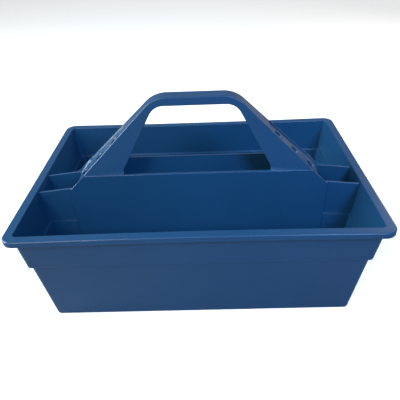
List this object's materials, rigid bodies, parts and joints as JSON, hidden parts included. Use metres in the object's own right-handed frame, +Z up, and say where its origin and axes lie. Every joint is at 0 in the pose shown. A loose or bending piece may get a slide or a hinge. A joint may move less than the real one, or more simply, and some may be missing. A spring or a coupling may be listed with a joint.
{
  "type": "tool storage caddy",
  "caption": "Open moulded tool tote with a stepped tub, a hollow central divider with hand opening and grip, sloping sides with tool holes, and pockets at each end.",
  "frame": {"origin": "middle of the tub's flat underside, on the surface that the caddy stands on", "axes": "+X along the length, +Y to the back where the deeper tray is, +Z up"},
  "size_m": [0.42, 0.29, 0.25],
  "materials": {
    "tub_plastic": "moulded polypropylene, low gloss",
    "divider_plastic": "moulded polypropylene, low gloss",
    "screw_steel": "zinc plated"
  },
  "bodies": {
    "root": {"tub": "tub_plastic", "handle_divider": "divider_plastic", "handle_screws": "screw_steel"}
  },
  "joints": []
}
